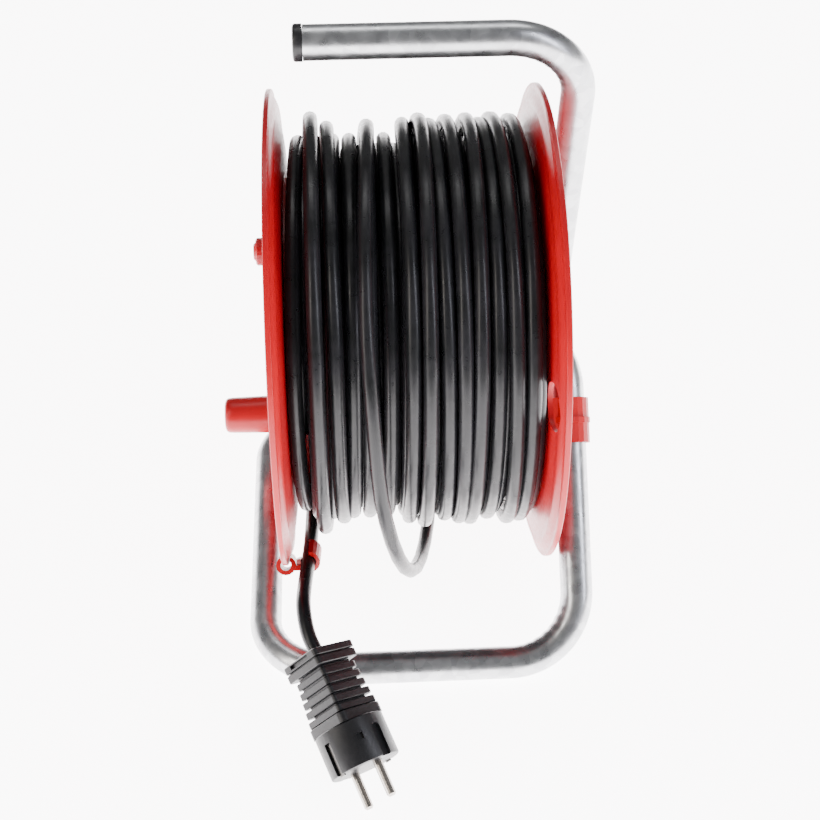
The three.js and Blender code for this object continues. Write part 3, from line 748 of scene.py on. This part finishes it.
PLUG_REAR = from_drum(*TAIL_ROUTE[-1])
PLUG_AXIS = Vector((0.369, -0.806, -0.463)).normalized()
PIN_LINE = Vector((0.597, -0.176, 0.783))
PIN_LINE = (PIN_LINE - PLUG_AXIS * PIN_LINE.dot(PLUG_AXIS)).normalized()
PLUG_PLACE = Matrix((PIN_LINE, PLUG_AXIS.cross(PIN_LINE), PLUG_AXIS)).transposed().to_4x4()
PLUG_PLACE.translation = PLUG_REAR + PLUG_AXIS * 0.3 * MM


def rounded_square(size, corner, height, steps=10):
    """A ring of points round a square with round corners, across the plug at a height."""
    reach = size / 2 - corner
    ring = []
    for quarter, (sx, sy) in enumerate([(1, 1), (-1, 1), (-1, -1), (1, -1)]):
        for k in range(steps + 1):
            angle = math.radians(90 * quarter + 90 * k / steps)
            x = sx * reach + corner * math.cos(angle)
            y = sy * reach + corner * math.sin(angle)
            ring.append(PLUG_PLACE @ (Vector((x, y, height)) * MM))
    return ring


def plug_loft(name, sections, smooth_angle=40):
    rings = [rounded_square(size, corner, height) for height, size, corner in sections]
    return mesh_object(name, *loft(rings), smooth_angle=smooth_angle)


def plate(height, thick, size, corner):
    """The sections of one plate with slightly rounded edges."""
    return [
        (height, size - 0.7, corner),
        (height + 0.35, size, corner),
        (height + thick - 0.35, size, corner),
        (height + thick, size - 0.7, corner),
    ]


def plug_cutter(size, place, turn=0):
    place = Matrix.Rotation(math.radians(turn), 4, "Z") @ Matrix.Translation(Vector(place) * MM)
    return box_solid("cutter", size, PLUG_PLACE @ place)


def guide_groove(side, width, inner_end):
    """A cutter for a groove that is open at the plug's face and round at its inner end."""
    half = width / 2
    rings = []
    for x in (side * 16.4, side * 20.5):
        ring = [(x, half, 66), (x, -half, 66)]
        for k in range(13):
            angle = math.pi * k / 12
            ring.append((x, -half * math.cos(angle), inner_end + half - half * math.sin(angle)))
        rings.append([PLUG_PLACE @ (Vector(p) * MM) for p in ring])
    return mesh_object("cutter", *loft(rings))


def plug():
    entry = [(-0.1, 9.6, 4.6), (0.05, 12, 5)]
    neck = [(4.05, PLUG_NECK_SIZE, 2.2), (4.75, PLUG_NECK_SIZE, 2.2)]
    sections = [*entry, *plate(0.2, 3.8, PLUG_SIZE, 2.4), *neck, *plate(4.8, 4.1, PLUG_SIZE, 2.4)]
    collar = plug_loft("plug_back", sections, 25)
    carve(collar, plug_cutter((15, 4, 2.2), (0, 14.4, 2.1)))
    finish_piece(collar, BLACK, "black_plastic", "frame", "plug_collar")

    pitch = (GRIP_END - GRIP_START) / RIBS
    sections = [(GRIP_START, GRIP_CORE_SIZE, 2)]
    for k in range(RIBS):
        start = GRIP_START + pitch * (k + 1 - RIB_SHARE)
        size = 24 + 3 * k / (RIBS - 1)
        rib = plate(start, pitch * RIB_SHARE - 0.05, size, 2.2)
        sections += [(start - 0.05, GRIP_CORE_SIZE, 2), *rib]
        sections.append((start + pitch * RIB_SHARE, GRIP_CORE_SIZE, 2))
    grip = plug_loft("plug_grip", sections, 25)
    finish_piece(grip, BLACK, "black_plastic", "frame", "plug_sleeve")

    profile = [
        (SHOULDER_START, SHOULDER_SIZE - 0.8, 3.8),
        (SHOULDER_START + 0.4, SHOULDER_SIZE, 4),
        (FACE_START - 0.2, SHOULDER_SIZE, 4),
        (FACE_START - 0.05, SHOULDER_SIZE + 0.6, 4.4),
        (FACE_START, FACE_SIZE - 1.2, 17.7),
        (FACE_START + 0.5, FACE_SIZE, 18.35),
        (FACE_END - 0.8, FACE_SIZE, 18.35),
        (FACE_END - 0.2, FACE_SIZE - 0.6, 18),
        (FACE_END, FACE_SIZE - 1.4, 17.6),
    ]
    front = plug_loft("plug_face", profile, 25)
    cutters = [guide_groove(1, 5.4, 46), guide_groove(-1, 5.4, 46)]
    cutters += [plug_cutter((4, 5, 19), (0, side * 18, 55.6)) for side in (1, -1)]
    cutters.append(plug_cutter((3, 3.4, 3.4), (18.4, 0, 50), 32))
    carve(front, *cutters)
    soften(front, 0.25)
    finish_piece(front, BLACK, "black_plastic", "frame", "plug_front")


plug()
for number in (1, 2):
    frame["nodes"][f"plug_pin_{number}"].data.materials[0] = PIN
    frame["nodes"][f"plug_earth_strip_{number}"].data.materials[0] = STRIP

# ---------------------------------------------------------------- clips and small pieces

for name in ("flange_guide_clip", "cord_clip"):
    frame["nodes"][name].data.materials.clear()
    frame["nodes"][name].data.materials.append(RED_CLIP)
    soften(frame["nodes"][name], 0.35)
for name in ("socket_panel", "cutout_collar", "reset_button", "contact_carrier", "thermal_cutout"):
    soften(frame["nodes"][name], 0.3)

# ---------------------------------------------------------------- the plug's pieces, gathered in a list

plug_pieces = [bpy.data.objects[n] for n in ("plug_back", "plug_grip", "plug_face")]
plug_pieces += [frame["nodes"][n] for n in ("plug_pin_1", "plug_pin_2")]
plug_pieces += [frame["nodes"][n] for n in ("plug_earth_strip_1", "plug_earth_strip_2")]
